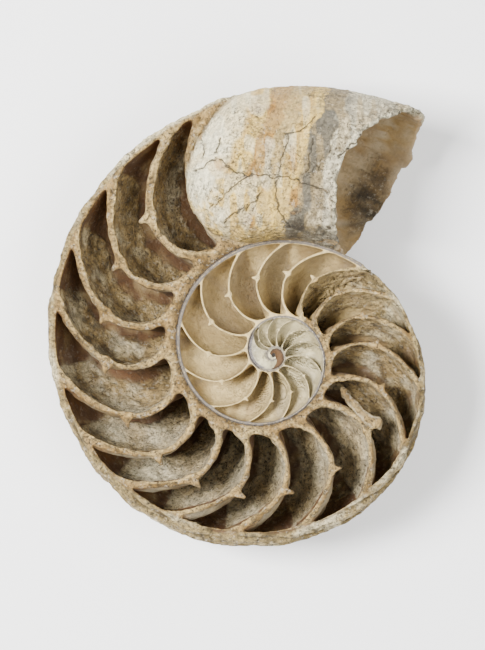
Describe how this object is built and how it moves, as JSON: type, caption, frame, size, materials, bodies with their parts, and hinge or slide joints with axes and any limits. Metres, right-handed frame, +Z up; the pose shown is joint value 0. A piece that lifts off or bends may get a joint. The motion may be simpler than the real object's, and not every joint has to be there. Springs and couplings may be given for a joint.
{
  "type": "nautilus shell half",
  "caption": "Weathered nautilus shell sawn open to show its coiled chambers, with the near wall of the body chamber left whole, lying on its flank.",
  "frame": {"origin": "on the surface that the shell lies on, under the centre of the shell's box", "axes": "+Y along the longest extent, from the foot of the coil to the top of the body chamber; +X towards the open lip; +Z up, out of the sawn side"},
  "size_m": [0.1138, 0.1386, 0.0586],
  "materials": {
    "shell": "weathered, chalky shell with stained septa and a smoother, pearly inner coil"
  },
  "bodies": {
    "root": {"nautilus_shell": "shell"}
  },
  "joints": []
}
